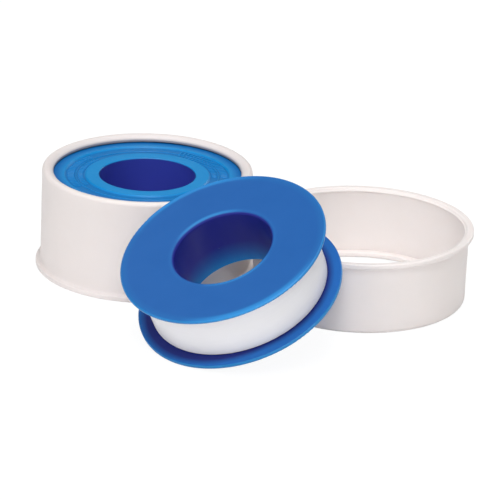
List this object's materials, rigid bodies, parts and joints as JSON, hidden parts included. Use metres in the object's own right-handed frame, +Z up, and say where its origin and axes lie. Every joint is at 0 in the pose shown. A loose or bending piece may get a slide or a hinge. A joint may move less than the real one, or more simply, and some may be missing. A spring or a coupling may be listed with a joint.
{
  "type": "thread seal tape roll",
  "caption": "Thread seal tape rolls in blue and white plastic: one closed in its shell, one opened with its wound spool leaning on the empty shell",
  "frame": {"origin": "on the table, under the middle of the set's box", "axes": "+X to the right as pictured, +Y away from the viewer, +Z up"},
  "size_m": [0.1074, 0.1024, 0.0355],
  "materials": {
    "shell": "white satin moulded plastic",
    "spool": "blue moulded plastic with a soft sheen",
    "tape": "wound white fluoropolymer film, waxy"
  },
  "bodies": {
    "open_shell": {"open_shell": "shell"},
    "open_spool": {"open_spool": "spool", "open_tape": "tape"},
    "closed_shell": {"closed_shell": "shell"},
    "closed_spool": {"closed_spool": "spool", "closed_tape": "tape"}
  },
  "joints": [
    {"name": "closed_shell_pull", "type": "slide", "parent": "open_shell", "child": "closed_shell", "axis": [0, 0, 1], "range_m": [0, 0.026]},
    {"name": "closed_spool_spin", "type": "hinge", "parent": "open_shell", "child": "closed_spool", "pos_m": [-0.02639, 0.02381, 0.01257], "axis": [0, 0, 1], "continuous": true},
    {"name": "open_spool_spin", "type": "hinge", "parent": "open_shell", "child": "open_spool", "pos_m": [-0.00466, -0.02515, 0.01776], "axis": [-0.3044, -0.3219, 0.8965], "continuous": true}
  ]
}
